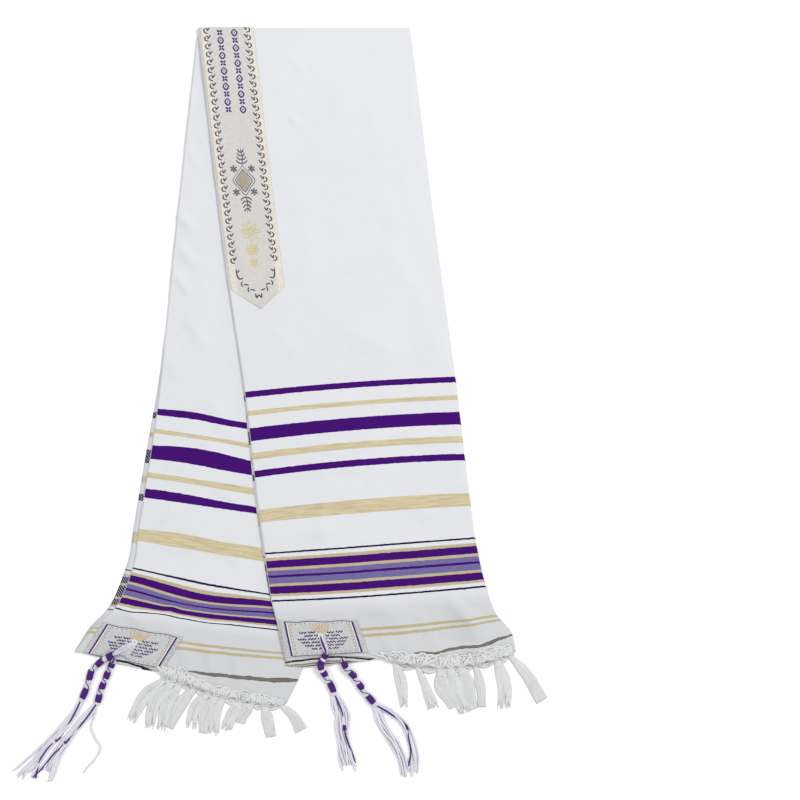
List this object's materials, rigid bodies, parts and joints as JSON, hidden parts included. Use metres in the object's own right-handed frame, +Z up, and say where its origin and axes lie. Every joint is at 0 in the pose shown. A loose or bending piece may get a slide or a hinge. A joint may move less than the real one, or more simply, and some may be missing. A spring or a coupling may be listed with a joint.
{
  "type": "prayer scarf",
  "caption": "Striped woven prayer scarf with neckband, corner patches, tassels and fringe, folded lengthwise and once across, lying flat to be worn over the shoulders.",
  "frame": {"origin": "on the surface that the scarf lies on, below the middle of its outline", "axes": "+Z up from the surface, +Y along the scarf towards the fold across its top, +X towards the lengthwise fold of the arm that lies on top"},
  "size_m": [0.6967, 0.9861, 0.0128],
  "materials": {
    "cloth": "fine woven white cotton mix with purple, gold and lavender cross stripes",
    "neckband": "cream woven satin with a faint sheen and gold specks",
    "patch": "pale grey woven satin with purple and gold side bars",
    "fringe": "soft untwisted white yarn",
    "tassel": "white and purple cotton cord"
  },
  "bodies": {
    "root": {"front_stretch": "cloth", "back_stretch": "cloth", "hidden_layers": "cloth", "neckband": "neckband", "corner_patch_front": "patch", "corner_patch_back": "patch", "fringe_front": "fringe", "fringe_back": "fringe", "tassel_front_upper": "tassel", "tassel_front_lower": "tassel", "tassel_back_upper": "tassel", "tassel_back_lower": "tassel"}
  },
  "joints": []
}
